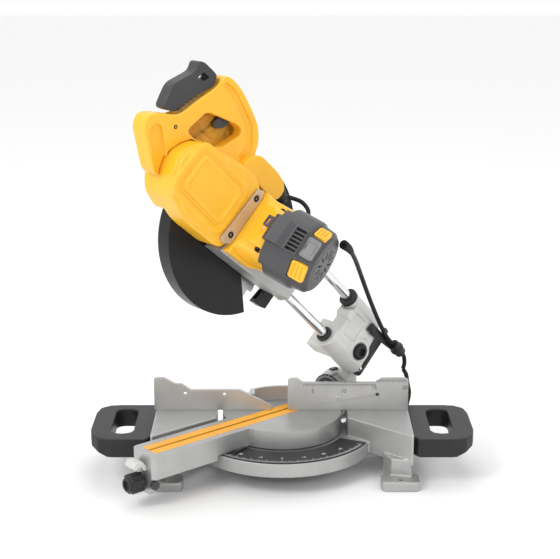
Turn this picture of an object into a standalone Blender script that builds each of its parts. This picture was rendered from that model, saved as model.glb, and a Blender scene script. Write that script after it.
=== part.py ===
"""Sliding miter saw with the head raised and the table turned to its left stop.

World frame: X runs along the fence to the right, Y back, Z up, with the origin on the turntable
axis at the bench. Lengths below are millimetres and are scaled to metres when a mesh is made.
Three frames hang off the world: MITRE turns with the table, HEAD tips with the saw head about the
chop pivot (its y runs back along the rails), and MOTOR lies along the motor shaft.
"""
import math

import bpy
from mathutils import Matrix, Vector

for old in list(bpy.data.objects):
    bpy.data.objects.remove(old, do_unlink=True)

MM = 0.001
GAP = 0.35                      # running gap between neighbouring pieces
MITRE_ANGLE = 50.0              # table turned left to its stop
RAISE_ANGLE = 45.0              # head raised above the horizontal
TABLE_Z = 86.0                  # table surface above the bench
TABLE_R = 97.0
DECK_Z = 57.0                   # underside of the turntable
SCALE_R = 150.0                 # rim of the mitre scale
ARM_REACH = 277.0
ARM_HALF = 29.0
PIVOT = (0.0, 116.0, 177.0)     # chop pivot in the mitre frame
ARBOR = (-311.0, 7.0)           # arbor (y, z) in the head frame
BLADE_R = 108.0
UPPER_GUARD_R = 115.0
LOWER_GUARD_R = 129.0
WELL_R = 131.5                  # clear circle that the lower guard swings in
RAIL_X = 38.0
RAIL_R = 8.2
RAIL_Z = (-15.5, 58.0)
MOTOR_START = Vector((50.0, -337.0, 17.0))
MOTOR_END = Vector((160.0, -266.0, 16.0))
MOTOR_R = 48.0
HOUSING_END = 62.0              # along the motor shaft, where the end cap takes over
CAP_R = 55.0
CORD_R = 3.6

FINISHES = {
    "yellow": ((0.90, 0.46, 0.02, 1.0), 0.35, 0.0),
    "black": ((0.025, 0.025, 0.028, 1.0), 0.5, 0.0),
    "grey": ((0.12, 0.12, 0.13, 1.0), 0.5, 0.0),
    "casting": ((0.58, 0.58, 0.57, 1.0), 0.4, 0.8),
    "steel": ((0.6, 0.6, 0.6, 1.0), 0.25, 1.0),
    "chrome": ((0.8, 0.8, 0.8, 1.0), 0.08, 1.0),
    "copper": ((0.7, 0.35, 0.15, 1.0), 0.4, 1.0),
}


# ---------------------------------------------------------------- frames

def empty(name, matrix):
    node = bpy.data.objects.new(name, None)
    bpy.context.scene.collection.objects.link(node)
    node.matrix_world = matrix
    return node


def turn(degrees, axis):
    return Matrix.Rotation(math.radians(degrees), 4, axis)


WORLD_M = Matrix.Identity(4)
MITRE_M = turn(-MITRE_ANGLE, 'Z')
HEAD_M = MITRE_M @ Matrix.Translation(Vector(PIVOT) * MM) @ turn(-RAISE_ANGLE, 'X')
MOTOR_DIR = (MOTOR_END - MOTOR_START).normalized()
MOTOR_LEN = (MOTOR_END - MOTOR_START).length
MOTOR_M = Matrix.Translation(MOTOR_START * MM) @ MOTOR_DIR.to_track_quat('Z', 'Y').to_matrix().to_4x4()
FRAMES = {"world": WORLD_M, "mitre": MITRE_M, "head": HEAD_M}


# ---------------------------------------------------------------- shapes

def mesh_object(name, points, faces):
    mesh = bpy.data.meshes.new(name)
    mesh.from_pydata([tuple(c * MM for c in p) for p in points], [], faces)
    mesh.update()
    body = bpy.data.objects.new(name, mesh)
    bpy.context.scene.collection.objects.link(body)
    return body


def signed_area(outline):
    pairs = zip(outline, outline[1:] + outline[:1])
    return 0.5 * sum(a[0] * b[1] - b[0] * a[1] for a, b in pairs)


def prism(outline, low, high, axis='Z', name="tool"):
    """Extrude a closed outline along an axis: X takes (y, z) points, Y (x, z) and Z (x, y)."""
    outline = list(outline)
    forward = signed_area(outline) > 0
    if axis == 'Y':
        forward = not forward
    if not forward:
        outline.reverse()
    place = {'X': lambda a, b, h: (h, a, b), 'Y': lambda a, b, h: (a, h, b),
             'Z': lambda a, b, h: (a, b, h)}[axis]
    count = len(outline)
    points = [place(a, b, h) for h in (low, high) for a, b in outline]
    faces = [list(range(count))[::-1], [count + i for i in range(count)]]
    for i in range(count):
        j = (i + 1) % count
        faces.append([i, j, count + j, count + i])
    return mesh_object(name, points, faces)


def box(x, y, z, name="tool"):
    outline = [(x[0], y[0]), (x[1], y[0]), (x[1], y[1]), (x[0], y[1])]
    return prism(outline, z[0], z[1], name=name)


def arc(centre, radius, start, end, steps):
    turns = [math.radians(start + (end - start) * i / steps) for i in range(steps + 1)]
    return [(centre[0] + radius * math.cos(t), centre[1] + radius * math.sin(t)) for t in turns]


def rounded(x, y, radius, steps=4):
    """Rectangle outline with round corners."""
    corners = ((x[1], y[1], 0), (x[0], y[1], 90), (x[0], y[0], 180), (x[1], y[0], 270))
    outline = []
    for cx, cy, start in corners:
        centre = (cx - math.copysign(radius, cx - sum(x) / 2), cy - math.copysign(radius, cy - sum(y) / 2))
        outline += arc(centre, radius, start, start + 90, steps)
    return outline


def sector(centre, inner, outer, start, end, steps):
    return arc(centre, outer, start, end, steps) + arc(centre, inner, end, start, steps)


def offset(outline, amount):
    """Move each edge of an outline outwards by an amount and meet them again at the corners."""
    if signed_area(outline) < 0:
        outline = outline[::-1]
    moved = []
    for i, here in enumerate(outline):
        before, after = Vector(outline[i - 1]), Vector(outline[(i + 1) % len(outline)])
        here = Vector(here)
        a, b = (here - before).normalized(), (after - here).normalized()
        n_a, n_b = Vector((a.y, -a.x)), Vector((b.y, -b.x))
        mitre = (n_a + n_b) / max(0.4, 1 + n_a.dot(n_b))
        moved.append(tuple(here + mitre * amount))
    return moved


def turned(profile, centre=(0, 0, 0), axis='Z', steps=32, name="tool"):
    """Closed (radius, height) profile turned about an axis through the centre."""
    if signed_area(profile) < 0:
        profile = profile[::-1]
    place = {'X': lambda r, t, h: (h, r * math.cos(t), r * math.sin(t)),
             'Y': lambda r, t, h: (r * math.sin(t), h, r * math.cos(t)),
             'Z': lambda r, t, h: (r * math.cos(t), r * math.sin(t), h)}[axis]
    points, rings = [], []
    for radius, height in profile:
        if radius < 1e-6:
            rings.append([len(points)])
            points.append(place(0, 0, height))
            continue
        rings.append(list(range(len(points), len(points) + steps)))
        points += [place(radius, 2 * math.pi * i / steps, height) for i in range(steps)]
    faces = []
    for low, high in zip(rings, rings[1:] + rings[:1]):
        for i in range(steps):
            j = (i + 1) % steps
            if len(low) > 1 and len(high) > 1:
                faces.append([low[i], low[j], high[j], high[i]])
            elif len(high) > 1:
                faces.append([low[0], high[j], high[i]])
            elif len(low) > 1:
                faces.append([low[i], low[j], high[0]])
    points = [tuple(p + c for p, c in zip(point, centre)) for point in points]
    return mesh_object(name, points, faces)


def rod(radius, low, high, centre=(0, 0, 0), axis='Z', steps=16, name="tool"):
    return turned([(0, low), (radius, low), (radius, high), (0, high)], centre, axis, steps, name)


def ring(inner, outer, low, high, centre=(0, 0, 0), axis='Z', steps=24, name="tool"):
    return turned([(inner, low), (outer, low), (outer, high), (inner, high)], centre, axis, steps, name)


def combine(target, operation, tools):
    for tool in tools:
        step = target.modifiers.new(operation, 'BOOLEAN')
        step.operation = operation
        step.solver = 'EXACT'
        step.object = tool
        graph = bpy.context.evaluated_depsgraph_get()
        graph.update()
        result = bpy.data.meshes.new_from_object(target.evaluated_get(graph))
        target.modifiers.clear()
        target.data = result
        bpy.data.objects.remove(tool, do_unlink=True)
    return target


def join(target, *tools):
    return combine(target, 'UNION', tools)


def cut(target, *tools):
    return combine(target, 'DIFFERENCE', tools)


def along_motor(body):
    """Carry a shape made about Z onto the motor shaft, in the head frame."""
    body.data.transform(MOTOR_M)
    return body


def finish_material(name, finish):
    color, rough, metal = FINISHES[finish]
    material = bpy.data.materials.new(name + "_" + finish)
    material.use_nodes = True
    shader = material.node_tree.nodes["Principled BSDF"]
    shader.inputs["Base Color"].default_value = color
    shader.inputs["Roughness"].default_value = rough
    shader.inputs["Metallic"].default_value = metal
    return material


def place(body, name, finish, frame="world", origin=(0, 0, 0)):
    """Name a finished body, give it its material, and hang it in its frame with its own origin."""
    body.name = name
    body.data.name = name
    body.data.materials.clear()
    body.data.materials.append(finish_material(name, finish))
    body.data.transform(Matrix.Translation(Vector(origin) * -MM))
    body.data.shade_smooth()
    body.data.set_sharp_from_angle(angle=math.radians(32))
    body.matrix_world = FRAMES[frame] @ Matrix.Translation(Vector(origin) * MM)
    if frame != "world":
        kept = body.matrix_world.copy()
        body.parent = EMPTIES[frame]
        body.matrix_parent_inverse = EMPTIES[frame].matrix_world.inverted()
        body.matrix_world = kept
    return body


EMPTIES = {name: empty(name + "_frame", matrix) for name, matrix in FRAMES.items()}
bpy.context.view_layer.update()


# ---------------------------------------------------------------- base

def mirrored(outline):
    return [(-a, b) for a, b in outline][::-1]


WING = [(106, -33), (203, -113), (206, -111), (206, 34), (106, 34)]
FRONT_FOOT = rounded((155, 217), (-133, -96), 10)
REAR_FOOT = rounded((150, 214), (34, 72), 10)
FRONT_LEG = [(172, -104), (203, -111), (204, -84), (160, -80)]
WING_HOLLOW = [(124, -40), (160, -66), (196, -78), (196, 8), (124, 8)]
REAR_LEG = [(158, 14), (203, 14), (203, 52), (158, 52)]


def base_casting():
    pan = arc((0, 0), SCALE_R, 183, 357, 36) + arc((0, 0), 103, 3, 177, 28)
    body = prism(pan, 31, 54)
    body = join(body, prism(arc((0, 0), 103, 3, 351, 47), 12, 33))
    body = join(body, rod(30, 0, 20))
    for flip in (lambda o: o, mirrored):
        body = join(body, prism(flip(WING), 35, TABLE_Z))
        body = join(body, prism(flip([(90, -30), (120, -40), (120, 30), (90, 30)]), 14, 53))
        for leg, foot in ((FRONT_LEG, FRONT_FOOT), (REAR_LEG, REAR_FOOT)):
            body = join(body, prism(flip(leg), 8, 44))
            body = join(body, prism(flip(foot), 0, 16))
    for flip in (lambda o: o, mirrored):
        body = cut(body, prism(flip(WING_HOLLOW), 20, TABLE_Z - 8))
    body = cut(body, ring(38, 97, 5, 46, steps=40))
    under = arc((0, 0), SCALE_R - 6, 200, 340, 20) + arc((0, 0), 108, 340, 200, 16)
    body = cut(body, prism(under, 20, 48))
    body = cut(body, rod(6.4, 7, 70))
    for x in (-186, 186):
        for y in (-121, 62):
            body = cut(body, rod(4.5, -2, 30, (x, y, 0), steps=16))
    return place(body, "base_casting", "casting")


def mitre_scale():
    plate = sector((0, 0), 103.5, SCALE_R - 1, 206, 334, 30)
    return place(prism(plate, 54 + GAP, 55.8), "mitre_scale", "black")


def fence_casting():
    """Right fence, the bridge behind the blade gap and the rail that the left fence slides on."""
    z = TABLE_Z + GAP
    profile = [(8.3, z), (205.7, z), (205.7, z + 50), (202, z + 54), (162, z + 54), (153, z + 47),
               (33.4, z + 47), (25.5, z + 54), (11, z + 54), (8.3, z + 51)]
    body = prism(profile, 0, 6, 'Y')
    body = cut(body, prism([(8, -1), (8, 7), (17, 7), (8.2, -1)], 80, 150))
    body = join(body, box((104, 205.7), (5, 30), (z, z + 7)))
    for x in (60, 112, 150, 196):
        body = join(body, prism([(5.5, z), (28 if x > 100 else 14, z), (5.5, z + 44)], x - 3, x + 3, 'X'))
    body = join(body, box((40, 112), (5, 14), (z, z + 22)))
    bridge = arc((0, -30), 82, 51, 129, 16) + arc((0, -30), 77, 129, 51, 16)
    body = join(body, prism(bridge, z, z + 24))
    body = join(body, prism([(45, 12), (56, 12), (52, 36), (45, 36)], z, z + 24))
    body = join(body, prism([(-56, 10), (-45, 10), (-45, 36), (-52, 36)], z, z + 24))
    body = join(body, box((-204, -46), (8, 16), (z, z + 20)))
    body = join(body, box((-204, -106), (8, 30), (z, z + 7)))
    body = cut(body, rod(4, 3, 9, (155.6, 0, z + 26), 'Y', 12), rod(4, -2, 9, (155.6, 0, z + 26), 'Y', 12))
    return place(body, "fence_casting", "casting")


def left_fence():
    z = TABLE_Z + GAP
    profile = [(-208.7, z), (-17.3, z), (-17.3, z + 7), (-68.9, z + 33.8), (-148.9, z + 33.8),
               (-163.8, z + 43.9), (-174, z + 43.9), (-192.6, z + 54.7), (-206, z + 54.7), (-208.7, z + 52)]
    body = prism(profile, 0, 7.5, 'Y')
    body = cut(body, rod(3, -2, 9, (-158, 0, z + 28), 'Y', 12), rod(3, -2, 9, (-94, 0, z + 26.6), 'Y', 12))
    return place(body, "left_fence", "casting", origin=(-113, 0, z))


def side_handle(side):
    outline = [(206.4, -100), (214, -112), (268, -112), (288, -108), (300, -94), (304, -70), (304, 6),
               (300, 26), (286, 38), (266, 41), (206.4, 41)]
    opening = rounded((236, 272), (-85, 20), 14)
    if side < 0:
        outline, opening = mirrored(outline), mirrored(opening)
    body = prism(outline, 49, 80)
    body = cut(body, prism(opening, 40, 90))
    slope = [(255, 40), (310, 40), (310, 66)]
    body = cut(body, prism(slope if side > 0 else mirrored(slope), -130, 60, 'Y'))
    return place(body, "side_handle_right" if side > 0 else "side_handle_left", "black")


def pivot_bolt():
    profile = [(0, 8), (6, 8), (6, 61.4), (12, 61.4), (12, 69), (0, 69)]
    body = turned(profile, steps=20)
    return place(body, "turntable_pivot_bolt", "steel")


# ---------------------------------------------------------------- turntable

KERF_HALF = 17.4
KERF_FRONT = -264.0
KERF_BACK = 45.0


def table_outline():
    """Plan of the disc and the arm that reaches forward from it."""
    meet = math.degrees(math.asin(ARM_HALF / TABLE_R))
    outline = arc((0, 0), TABLE_R, -90 + meet, 270 - meet, 56)
    outline += arc((-ARM_HALF + 10, -ARM_REACH + 10), 10, 180, 270, 4)
    return outline + arc((ARM_HALF - 10, -ARM_REACH + 10), 10, 270, 360, 4)


def turntable():
    body = prism(table_outline(), DECK_Z, TABLE_Z)
    deep = [(-ARM_HALF, -155)] + arc((-ARM_HALF + 10, -ARM_REACH + 10), 10, 180, 270, 4)
    deep += arc((ARM_HALF - 10, -ARM_REACH + 10), 10, 270, 360, 4) + [(ARM_HALF, -155)]
    body = join(body, prism(offset(deep, -0.4), 48, DECK_Z + 2))
    body = cut(body, prism(rounded((-24, 24), (-268.6, -108), 6), 40, 77))
    body = join(body, prism(rounded((-20, 20), (22, 70), 5), -ARM_REACH + 0.5, -ARM_REACH + 9, 'Y'))
    body = join(body, box((-26, 26), (88, 112), (DECK_Z + 1, TABLE_Z - 1)))
    body = join(body, rod(38, 104, 117.5, (0, 0, TABLE_Z), 'Y', 32))
    body = cut(body, box((-KERF_HALF - GAP, KERF_HALF + GAP), (KERF_FRONT - GAP, KERF_BACK + GAP), (83, 90)))
    body = cut(body, box((-4, 13), (-252, 36), (71, 84)))
    body = cut(body, rod(6.4, 40, 75))
    body = cut(body, rod(12.4, 61, 75))
    body = cut(body, rod(4.4, -290, -258, (0, 0, 40), 'Y', 16))
    body = cut(body, rod(7.4, 99, 125, (0, 0, TABLE_Z), 'Y', 20))
    return place(body, "turntable", "casting", "mitre")


def kerf_plate(side):
    low, high = 83 + GAP, TABLE_Z
    if side > 0:
        profile = [(2.4, high), (KERF_HALF, high), (KERF_HALF, low), (5.8, low)]
    else:
        profile = [(-2.4, high), (-2.4, low), (-KERF_HALF, low), (-KERF_HALF, high)]
    body = prism(profile, KERF_FRONT, KERF_BACK, 'Y')
    return place(body, "kerf_plate_right" if side > 0 else "kerf_plate_left", "yellow", "mitre")


def lock_rod():
    body = rod(4, -286, -151, (0, 0, 40), 'Y', 16)
    return place(body, "mitre_lock_rod", "steel", "mitre", (0, -286, 40))


def mitre_knob():
    flutes = [(math.radians(6 * i), 16 if i % 10 < 6 else 14.2) for i in range(60)]
    outline = [(r * math.cos(t), 40 + r * math.sin(t)) for t, r in flutes]
    body = prism(outline, -303, -280, 'Y')
    body = join(body, turned([(0, -307), (12, -307), (14, -302.5), (0, -302.5)], (0, 0, 40), 'Y', 24))
    body = cut(body, rod(4 + GAP, -290, -270, (0, 0, 40), 'Y', 16), rod(8, -312, -300, (0, 0, 40), 'Y', 6))
    return place(body, "mitre_knob", "black", "mitre", (0, -290, 40))


def detent_lever():
    profile = [(-277.5, 59), (-277.5, 68), (-286, 74), (-296, 74), (-299, 69), (-292, 64), (-284, 58)]
    return place(prism(profile, -10, 10, 'X'), "detent_lever", "casting", "mitre", (0, -278, 62))


def arm_end_cap():
    body = rod(7, 20 + GAP, 27, (0, -271, 38), 'X', 20)
    return place(body, "arm_end_cap", "black", "mitre")


def bevel_scale():
    plate = sector((0, TABLE_Z), 26, 38, 20, 160, 24)
    return place(prism(plate, 102, 103.6, 'Y'), "bevel_scale", "black", "mitre")


def bevel_pin():
    profile = [(0, 100), (7, 100), (7, 141), (0, 141)]
    return place(turned(profile, (0, 0, TABLE_Z), 'Y', 20), "bevel_pivot_pin", "steel", "mitre")


def bevel_arm():
    body = rod(44, 118, 134, (0, 0, TABLE_Z), 'Y', 40)
    post = [(14, 100), (28.2, 100), (28.2, 177), (14, 177)]
    body = join(body, prism(post, 118, 140, 'Y'))
    gusset = [(-24, 100), (16, 100), (16, 136)]
    body = join(body, prism(gusset, 120, 130, 'Y'))
    body = join(body, rod(18, 14, 28.2, PIVOT, 'X', 28))
    body = cut(body, rod(5.4, 5, 40, PIVOT, 'X', 20), rod(7.4, 100, 150, (0, 0, TABLE_Z), 'Y', 20))
    body = cut(body, rod(3.4, 5, 50, (0, 129, 144), 'X', 16))
    return place(body, "bevel_arm", "casting", "mitre", (0, 126, TABLE_Z))


def bevel_pointer():
    body = prism([(-5, 130.5), (5, 130.5), (3, 134), (-3, 134)], 106, 119.6, 'Y')
    return place(body, "bevel_pointer", "grey", "mitre")


def bevel_lock_lever():
    body = ring(7.5, 13, 134.5, 150, (0, 0, TABLE_Z), 'Y', 24)
    grip = prism([(-10, 91), (-10, 79), (-62, 70), (-70, 76), (-68, 84)], 139, 149, 'Y')
    body = join(body, grip)
    return place(body, "bevel_lock_lever", "black", "mitre", (0, 140, TABLE_Z))


def transport_pin():
    profile = [(0, 4), (6.5, 4), (6.5, 13.6), (3, 13.6), (3, 27), (0, 27)]
    body = turned(profile, (0, 129, 144), 'X', 16)
    return place(body, "transport_pin", "black", "mitre", (4, 129, 144))


# ---------------------------------------------------------------- carrier and rails

def carrier():
    low_z, high_z = RAIL_Z
    body = rod(19, -52, 22, (RAIL_X + 2, 0, low_z), 'Y', 32)
    body = join(body, rod(13, -52, 14, (RAIL_X, 0, high_z), 'Y', 28))
    body = join(body, prism([(-50, -13), (21, -13), (10, 56), (-48, 56)], 29.4, 58, 'X'))
    body = join(body, rod(20, 28.9, 60, axis='X', steps=28))
    body = join(body, box((-8, 32), (-48, -22.5), (-34, 18)))
    cheek = [(-24, -30), (-24, 15)] + arc((0, 0), 19.5, 110, -110, 16)
    body = join(body, prism(cheek, -8, 3, 'X'))
    body = cut(body, box((3.1, 28.8), (-22.3, 40), (-60, 70)))
    body = cut(body, rod(RAIL_R + 1.4, -60, 30, (RAIL_X, 0, low_z), 'Y', 24))
    body = cut(body, rod(RAIL_R + 1.4, -60, 30, (RAIL_X, 0, high_z), 'Y', 24))
    body = cut(body, rod(5.3, -20, 45, axis='X', steps=20))
    body = cut(body, prism([(-42, 6), (-8, 6), (-8, 44), (-42, 44)], 56, 70, 'X'))
    body = cut(body, rod(4.4, 14, 32, (0, -20, high_z), 'X', 16))
    return place(body, "carrier", "casting", "head")


def pivot_shaft():
    body = rod(5, -10, 43, axis='X', steps=20)
    return place(body, "chop_pivot_shaft", "steel", "head")


def pivot_cap():
    body = turned([(0, 60.4), (11, 60.4), (11, 63), (8.5, 65), (5, 65), (5, 62), (0, 62)], axis='X', steps=24)
    return place(body, "pivot_bolt_head", "steel", "head")


def return_spring():
    body = ring(6.2, 12, 3.6, 13.3, axis='X', steps=24)
    return place(body, "head_return_spring", "steel", "head")


def rail_bush(name, z):
    body = ring(RAIL_R + 0.05 + GAP, RAIL_R + 1.05, -50, 12, (RAIL_X, 0, z), 'Y', 24)
    return place(body, name, "copper", "head")


def rail_seal():
    body = ring(RAIL_R + GAP, 12.6, -57, -52.4, (RAIL_X, 0, RAIL_Z[1]), 'Y', 24)
    return place(body, "rail_seal", "black", "head")


def rail_lock_knob():
    body = turned([(0, 28), (4, 28), (4, 13), (0, 13)], (0, -20, RAIL_Z[1]), 'X', 16)
    flutes = [(math.radians(12 * i), 12 if i % 3 else 10.5) for i in range(30)]
    outline = [(r * math.cos(t) - 20, RAIL_Z[1] + r * math.sin(t)) for t, r in flutes]
    body = join(body, prism(outline, -4, 13.5, 'X'))
    return place(body, "rail_lock_knob", "black", "head", (10, -20, RAIL_Z[1]))


CLAMP_X = 66.5
CLAMP_Z = 49.0
CLAMP_END = 74.0


def cord_clamp():
    """Bracket from the carrier's back edge to the ring that holds the lead."""
    body = prism([(-14, 36), (0, 34), (62, 42), (62, 50), (8, 50), (-12, 50)], 58.5, 61.8, 'X')
    body = join(body, ring(CORD_R + GAP, 8.5, 52, CLAMP_END, (CLAMP_X, 0, CLAMP_Z), 'Y', 20))
    return place(body, "cord_clamp", "black", "head")


def rail(name, z):
    body = rod(RAIL_R, -232, 39.5, (RAIL_X, 0, z), 'Y', 24)
    return place(body, name, "chrome", "head")


def rail_end_plate():
    outline = rounded((29.8, 46.4), (-26, 69), 6)
    return place(prism(outline, 40, 45, 'Y'), "rail_end_plate", "black", "head")


# ---------------------------------------------------------------- saw head

def gear_case():
    outline = [(-350, -46), (-307, -42), (-218, -32), (-188, -24), (-188, 72), (-235, 74), (-300, 62),
               (-350, 62)]
    body = prism(outline, 13.8, 56, 'X')
    for z in RAIL_Z:
        body = join(body, rod(15, -236, -188, (RAIL_X, 0, z), 'Y', 28))
    body = cut(body, prism([(-250, -16), (-180, 0), (-180, 42), (-250, 50)], 24, 70, 'X'))
    body = join(body, rod(30, 9.9, 14.5, (0, *ARBOR), 'X', 36))
    body = cut(body, rod(36, 22, 60, (0, *ARBOR), 'X', 32), rod(8.4, 0, 30, (0, *ARBOR), 'X', 20))
    body = cut(body, rod(5.9, 53, 90, (34, -268, 0), 'Z', 16))
    for z in RAIL_Z:
        body = cut(body, rod(RAIL_R + GAP, -233, -180, (RAIL_X, 0, z), 'Y', 20))
    return place(body, "gear_case", "casting", "head")


HOUSING = [(-490, -31), (-477, -42), (-429, -54), (-394, -50), (-351, -46), (-351, 66), (-388, 76),
           (-452, 61), (-490, 49), (-502, 32), (-510, 11), (-500, -16)]


def well(low, high, grow=0.0):
    return rod(WELL_R + grow, low, high, (0, *ARBOR), 'X', 56)


def head_housing():
    body = prism(HOUSING, 14, 60, 'X')
    nose = [(-490, -31), (-477, -42), (-440, -51), (-440, 63), (-452, 61), (-490, 49), (-502, 32), (-510, 11),
            (-500, -16)]
    body = join(body, cut(prism(nose, -12, 20, 'X'), well(-20, 13.9)))
    return place(body, "head_housing", "yellow", "head")


def side_panel():
    outline = rounded((-497, -364), (-38, 54), 14)
    body = prism(outline, 60 + GAP, 67, 'X')
    return place(body, "side_panel", "yellow", "head")


HANDLE = [(-508, -32), (-577, 9), (-582, 27), (-570, 38), (-554, 46), (-531, 60), (-516, 109), (-506, 134),
          (-509, 157), (-477, 161), (-412, 144), (-382, 112), (-384, 77), (-480, 40), (-470, 0)]
GRIP_HOLE = [(-505, 53), (-496, 96), (-470, 106), (-440, 117), (-430, 118), (-424, 110), (-440, 72),
             (-488, 52)]


TRIGGER = [(-470, 93), (-462, 91), (-450, 100), (-446, 114), (-452, 129), (-463, 126), (-468, 108)]
LEVER = [(-556, 51), (-566, 88), (-548, 127), (-554, 141), (-545, 147), (-515, 149), (-509.5, 140),
         (-508, 131), (-519, 110), (-534, 62)]


def handle_half(low, high):
    """Half of the D handle, with room for the trigger's swing and the release lever's squeeze."""
    body = prism(HANDLE, low, high, 'X')
    body = cut(body, prism(GRIP_HOLE, low - 2, high + 2, 'X'))
    body = cut(body, prism(offset(HOUSING, GAP), low - 2, high + 2, 'X'))
    body = cut(body, prism(offset(TRIGGER, 2.2), 4, 22, 'X'))
    squeezed = [(y + 8, z - 1) for y, z in offset(LEVER, 0.6)]
    return cut(body, prism(squeezed, 1.2, 24.8, 'X'))


def trigger():
    return place(prism(TRIGGER, 5, 21, 'X'), "trigger", "black", "head", (13, -456, 124))


def release_lever():
    return place(prism(LEVER, 2, 24, 'X'), "release_lever", "grey", "head", (13, -545, 58))


def motor_housing():
    profile = [(0, 4), (MOTOR_R - 4, 4), (MOTOR_R, 9), (MOTOR_R, HOUSING_END), (0, HOUSING_END)]
    body = along_motor(turned(profile, steps=48))
    flange = [(-350, -44), (-300, -38), (-262, -20), (-262, 50), (-300, 64), (-350, 66)]
    body = join(body, prism(flange, 56 + GAP, 74, 'X'))
    body = cut(body, box((0, 56 + GAP), (-420, -200), (-80, 100)))
    body = cut(body, box((0, 120), (-420, -350 + GAP), (-80, 100)))
    body = cut(body, along_motor(rod(MOTOR_R - 4, 35, 100, steps=36)))
    body = cut(body, along_motor(rod(9, -20, 60, steps=20)))
    return place(body, "motor_housing", "yellow", "head")


def motor_end_cap():
    start = HOUSING_END + GAP
    profile = [(MOTOR_R - 3, start), (MOTOR_R + 2, start), (CAP_R, start + 5), (CAP_R, 104), (CAP_R - 5, 124),
               (CAP_R - 12, 135), (12, 137), (0, 137), (0, 132), (40, 131), (MOTOR_R - 3, 120)]
    body = along_motor(turned(profile, steps=48))
    return place(body, "motor_end_cap", "black", "head")


def stator():
    return place(along_motor(ring(29.5, MOTOR_R - 4.4, 39, 78, steps=28)), "stator", "copper", "head")


def armature():
    profile = [(0, -3), (6.2, -3), (6.2, 6), (4, 6), (4, 41), (28.6, 41), (28.6, 76), (8, 76), (8, 82),
               (39, 82), (39, 86), (14, 86), (14, 108), (4, 108), (4, 126), (0, 126)]
    return place(along_motor(turned(profile, steps=28)), "armature", "copper", "head", tuple(MOTOR_START))


def drive_gear():
    body = ring(8 + GAP, 18.4, 46, 53, (0, *ARBOR), 'X', 32)
    return place(body, "drive_gear", "steel", "head", (0, *ARBOR))


def arbor_shaft():
    profile = [(0, -6), (5, -6), (5, 1.7), (22, 1.7), (22, 5.5), (8, 5.5), (8, 54.5), (0, 54.5)]
    return place(turned(profile, (0, *ARBOR), 'X', 28), "arbor_shaft", "steel", "head", (0, *ARBOR))


def blade():
    outline = []
    teeth = 40
    for i in range(teeth):
        start = 360 * i / teeth
        for radius, lead in ((BLADE_R, 0.0), (BLADE_R - 1.5, 2.6), (BLADE_R - 7, 6.0)):
            angle = math.radians(start + lead)
            outline.append((ARBOR[0] + radius * math.cos(angle), ARBOR[1] + radius * math.sin(angle)))
    body = prism(outline, -1.2, 1.2, 'X')
    body = cut(body, rod(5 + GAP, -5, 5, (0, *ARBOR), 'X', 20))
    return place(body, "blade", "steel", "head", (0, *ARBOR))


def outer_flange():
    body = ring(5 + GAP, 20, -5.4, -1.2 - GAP, (0, *ARBOR), 'X', 28)
    return place(body, "outer_flange", "steel", "head", (0, *ARBOR))


def blade_bolt():
    body = rod(9.5, -11.8, -6.4, (0, *ARBOR), 'X', 6)
    return place(body, "blade_bolt", "steel", "head", (0, *ARBOR))


def upper_blade_guard():
    body = prism(sector(ARBOR, UPPER_GUARD_R - 3, UPPER_GUARD_R, 0, 180, 32), -9, 9.4, 'X')
    body = join(body, prism(sector(ARBOR, 24, UPPER_GUARD_R - 1, 0, 180, 32), 7, 9.4, 'X'))
    body = join(body, prism(sector(ARBOR, 60, UPPER_GUARD_R, 0, 180, 32), -11.9, -9, 'X'))
    return place(body, "upper_blade_guard", "grey", "head")


GUARD_SPAN = (-190, -40)


def lower_blade_guard():
    start, end = GUARD_SPAN
    body = prism(sector(ARBOR, LOWER_GUARD_R - 3, LOWER_GUARD_R, start, end, 40), -14.6, 12.4, 'X')
    body = join(body, prism(sector(ARBOR, 60, LOWER_GUARD_R - 1, start, end, 40), -14.6, -12.4, 'X'))
    face = sector(ARBOR, 30 + GAP, LOWER_GUARD_R - 1, start, end, 40)
    body = join(body, prism(face, 10, 12.4, 'X'), ring(30 + GAP, 40, 10, 12.4, (0, *ARBOR), 'X', 40))
    return place(body, "lower_blade_guard", "black", "head", (0, *ARBOR))


def dust_chute():
    outline = [(-198, -50), (-182, -48), (-172, -45), (-172, -20), (-184, 12), (-194.5, 12), (-194.5, -20)]
    body = prism(outline, -11, 3.4, 'X')
    body = cut(body, prism([(-200, -44), (-190, -44), (-190, 8), (-200, 8)], -8, 0.4, 'X'))
    return place(body, "dust_chute", "grey", "head")


def cable_tube():
    body = rod(10, -381.5, -304, (26, 0, 92), 'Y', 24)
    return place(body, "cable_tube", "yellow", "head")


def cable_gland():
    profile = [(0, -303.6), (13, -303.6), (13, -294), (8, -288), (8, -280), (0, -280)]
    body = turned(profile, (26, 0, 94), 'Y', 20)
    return place(body, "cable_gland", "black", "head")


def spindle_lock():
    body = rod(5.5, 60, 75, (34, -268, 0), 'Z', 16)
    return place(body, "spindle_lock", "black", "head", (34, -268, 70))


# ---------------------------------------------------------------- cord

def head_point(x, y, z):
    return tuple(c / MM for c in (HEAD_M @ (Vector((x, y, z)) * MM)))


def smooth_route(route, spacing):
    """Points at an even spacing on the Catmull-Rom curve through a route."""
    points = [Vector(p) for p in route]
    points = [2 * points[0] - points[1]] + points + [2 * points[-1] - points[-2]]
    fine = []
    for a, b, c, d in zip(points, points[1:], points[2:], points[3:]):
        for i in range(12):
            t = i / 12
            fine.append(0.5 * (2 * b + (c - a) * t + (2 * a - 5 * b + 4 * c - d) * t ** 2
                               + (3 * b - a - 3 * c + d) * t ** 3))
    fine.append(points[-2])
    total = sum((b - a).length for a, b in zip(fine, fine[1:]))
    count = max(2, round(total / spacing))
    evenly, walked, target = [fine[0]], 0.0, total / count
    for a, b in zip(fine, fine[1:]):
        step = (b - a).length
        while walked + step >= target and len(evenly) < count:
            evenly.append(a.lerp(b, (target - walked) / step))
            target += total / count
        walked += step
    return evenly + [fine[-1]]


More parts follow.
